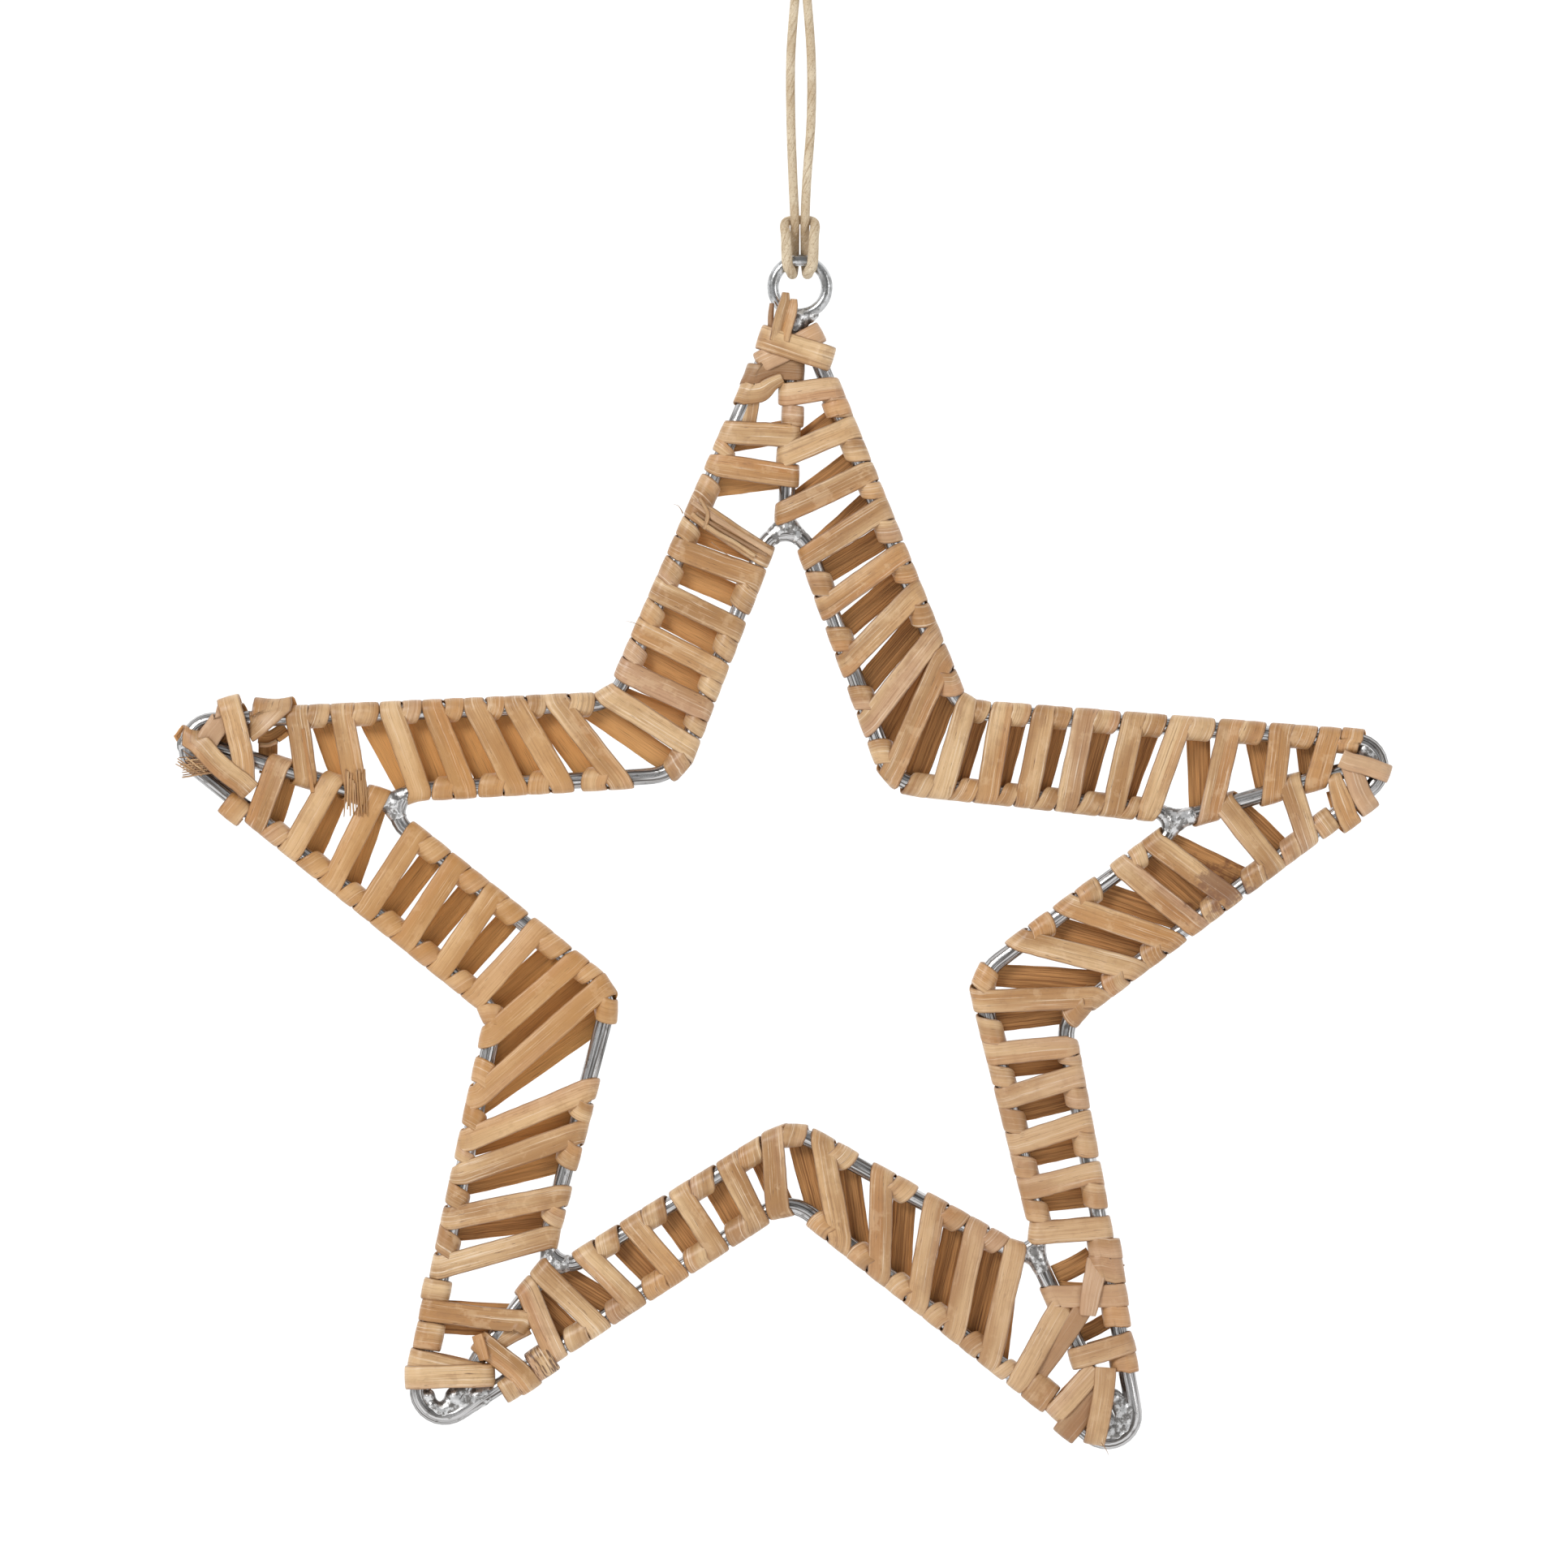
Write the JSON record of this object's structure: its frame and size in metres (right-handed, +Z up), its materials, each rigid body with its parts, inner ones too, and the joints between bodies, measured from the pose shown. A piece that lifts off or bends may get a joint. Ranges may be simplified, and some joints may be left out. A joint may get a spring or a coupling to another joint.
{
  "type": "wicker star ornament",
  "caption": "Hanging star ornament: an outer and an inner star of welded wire wound together with flat rattan strip, with a ring and a doubled cord to hang it by.",
  "frame": {"origin": "the top of the cord's knot, where the ornament hangs", "axes": "+Z up, -Y out of the front face, +X to the right as seen from the front"},
  "size_m": [0.2206, 0.0073, 0.2716],
  "materials": {
    "steel_wire": "bright drawn wire with mottled welds",
    "rattan": "semi-matt cane strip",
    "cord": "waxed twisted cord"
  },
  "bodies": {
    "root": {"outer_star_wire": "steel_wire", "inner_star_wire": "steel_wire", "strut_top": "steel_wire", "strut_right": "steel_wire", "strut_lower_right": "steel_wire", "strut_lower_left": "steel_wire", "strut_left": "steel_wire", "hanging_ring": "steel_wire", "rattan_upper_right": "rattan", "rattan_right": "rattan", "rattan_lower": "rattan", "rattan_left": "rattan", "rattan_upper_left": "rattan", "hanging_cord": "cord", "cord_knot": "cord"}
  },
  "joints": []
}
